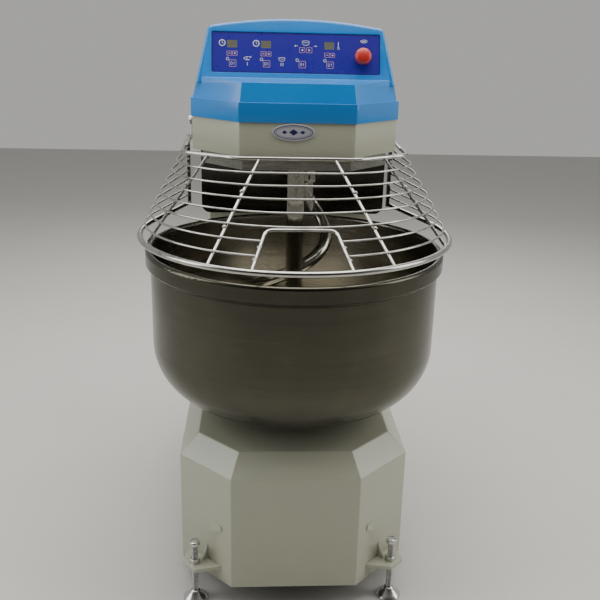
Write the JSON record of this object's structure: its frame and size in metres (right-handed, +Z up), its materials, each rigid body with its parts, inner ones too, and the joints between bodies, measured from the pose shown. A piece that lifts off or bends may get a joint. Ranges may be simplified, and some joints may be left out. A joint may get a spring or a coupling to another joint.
{
  "type": "spiral dough mixer",
  "caption": "Floor-standing spiral dough mixer with a revolving steel bowl, spiral hook, breaker bar, hinged wire guard, blue cover with control panel and levelling feet.",
  "frame": {"origin": "on the floor under the middle of the overall length and width", "axes": "+X to the operator's right, +Y to the back, +Z up"},
  "size_m": [0.7952, 1.196, 1.43],
  "materials": {
    "grey_paint": "hammered semi-gloss light grey-green paint",
    "dark_paint": "satin dark grey paint",
    "blue_cover": "glossy moulded blue",
    "panel_film": "royal blue membrane film",
    "lcd": "unlit olive display window",
    "red_plastic": "red moulded plastic",
    "black_plastic": "black moulded plastic",
    "grey_plastic": "grey moulded plastic",
    "badge_enamel": "enamelled oval plate with a bright edge",
    "stainless_bowl": "stainless steel polished in rings",
    "stainless_bright": "bright electropolished stainless bar",
    "stainless_plate": "brushed stainless sheet",
    "skirt_plate": "brushed stainless sheet, lighter",
    "tool_steel": "polished stainless bar",
    "zinc_steel": "zinc-plated steel",
    "plain_steel": "bare machined steel",
    "bearing_steel": "ground bearing steel",
    "cast_iron": "machined grey iron",
    "motor_grey": "painted ribbed aluminium",
    "belt_rubber": "black V-belt rubber"
  },
  "bodies": {
    "root": {"badge": "badge_enamel", "base_bridge_frame": "dark_paint", "base_chassis_plate": "dark_paint", "base_housing": "grey_paint", "blind_plugs": "grey_paint", "bowl_bearing_housing": "cast_iron", "bowl_bearings": "bearing_steel", "bowl_belt": "belt_rubber", "bowl_motor": "motor_grey", "bowl_motor_mount": "dark_paint", "breaker_bar": "tool_steel", "cable_gland": "black_plastic", "column_housing": "grey_paint", "contactors": "grey_plastic", "control_panel": "panel_film", "display_windows": "lcd", "electrical_box": "dark_paint", "foot_brackets": "grey_paint", "foot_lock_nuts": "zinc_steel", "guard_hinge_bolts": "zinc_steel", "guard_interlock_switch": "black_plastic", "head_frame_plate": "plain_steel", "head_housing": "grey_paint", "head_skirt": "skirt_plate", "rear_cover": "grey_paint", "rear_cover_screws": "zinc_steel", "rear_splash_shield": "stainless_plate", "spiral_bearing_housing": "cast_iron", "spiral_bearings": "bearing_steel", "spiral_belts": "belt_rubber", "spiral_motor": "motor_grey", "spiral_motor_mount": "dark_paint", "stop_button_collar": "grey_plastic", "top_cover": "blue_cover"},
    "bowl": {"bowl": "stainless_bowl", "bowl_rim_band": "stainless_bowl", "bowl_foot_ring": "stainless_plate", "bowl_hub": "plain_steel", "bowl_shaft": "plain_steel", "bowl_pulley": "cast_iron"},
    "bowl_motor_rotor": {"bowl_motor_rotor": "plain_steel"},
    "spiral": {"spiral_hook": "tool_steel", "spiral_collar": "tool_steel", "spiral_shaft": "plain_steel", "spiral_pulley": "cast_iron"},
    "spiral_motor_rotor": {"spiral_motor_rotor": "plain_steel"},
    "guard": {"guard_bottom_ring": "stainless_bright", "guard_top_tube": "stainless_bright", "guard_wires": "stainless_bright", "guard_rods": "stainless_bright", "guard_chute_frame": "stainless_bright", "guard_rear_posts": "stainless_plate", "guard_pivot_arms": "stainless_bright"},
    "stop_button": {"stop_button_head": "red_plastic"},
    "foot_front_left": {"levelling_foot_front_left": "zinc_steel"},
    "foot_front_right": {"levelling_foot_front_right": "zinc_steel"},
    "foot_rear_left": {"levelling_foot_rear_left": "zinc_steel"},
    "foot_rear_right": {"levelling_foot_rear_right": "zinc_steel"}
  },
  "joints": [
    {"name": "bowl_spin", "type": "hinge", "parent": "root", "child": "bowl", "pos_m": [0, -0.2, 0.48], "axis": [0, 0, 1], "continuous": true},
    {"name": "bowl_motor_spin", "type": "hinge", "parent": "root", "child": "bowl_motor_rotor", "pos_m": [0, 0.32, 0.2], "axis": [0, 0, 1], "continuous": true},
    {"name": "spiral_spin", "type": "hinge", "parent": "root", "child": "spiral", "pos_m": [0.03, -0.005, 1.1], "axis": [0, 0, 1], "continuous": true},
    {"name": "spiral_motor_spin", "type": "hinge", "parent": "root", "child": "spiral_motor_rotor", "pos_m": [0, 0.345, 1.1], "axis": [0, 0, 1], "continuous": true},
    {"name": "guard_hinge", "type": "hinge", "parent": "root", "child": "guard", "pos_m": [0, 0.085, 1.162], "axis": [-1, 0, 0], "range_deg": [0, 60]},
    {"name": "stop_button_press", "type": "slide", "parent": "root", "child": "stop_button", "axis": [0, 0.9527, -0.304], "range_m": [0, 0.005], "stiffness_N_per_m": 800, "springref_m": -0.002},
    {"name": "level_front_left", "type": "slide", "parent": "root", "child": "foot_front_left", "axis": [0, 0, -1], "range_m": [0, 0.02]},
    {"name": "level_front_right", "type": "slide", "parent": "root", "child": "foot_front_right", "axis": [0, 0, -1], "range_m": [0, 0.02]},
    {"name": "level_rear_left", "type": "slide", "parent": "root", "child": "foot_rear_left", "axis": [0, 0, -1], "range_m": [0, 0.02]},
    {"name": "level_rear_right", "type": "slide", "parent": "root", "child": "foot_rear_right", "axis": [0, 0, -1], "range_m": [0, 0.02]}
  ],
  "couplings": [
    {"joint": "bowl_motor_spin", "follows": "bowl_spin", "ratio": 4},
    {"joint": "spiral_motor_spin", "follows": "spiral_spin", "ratio": 2.5}
  ]
}
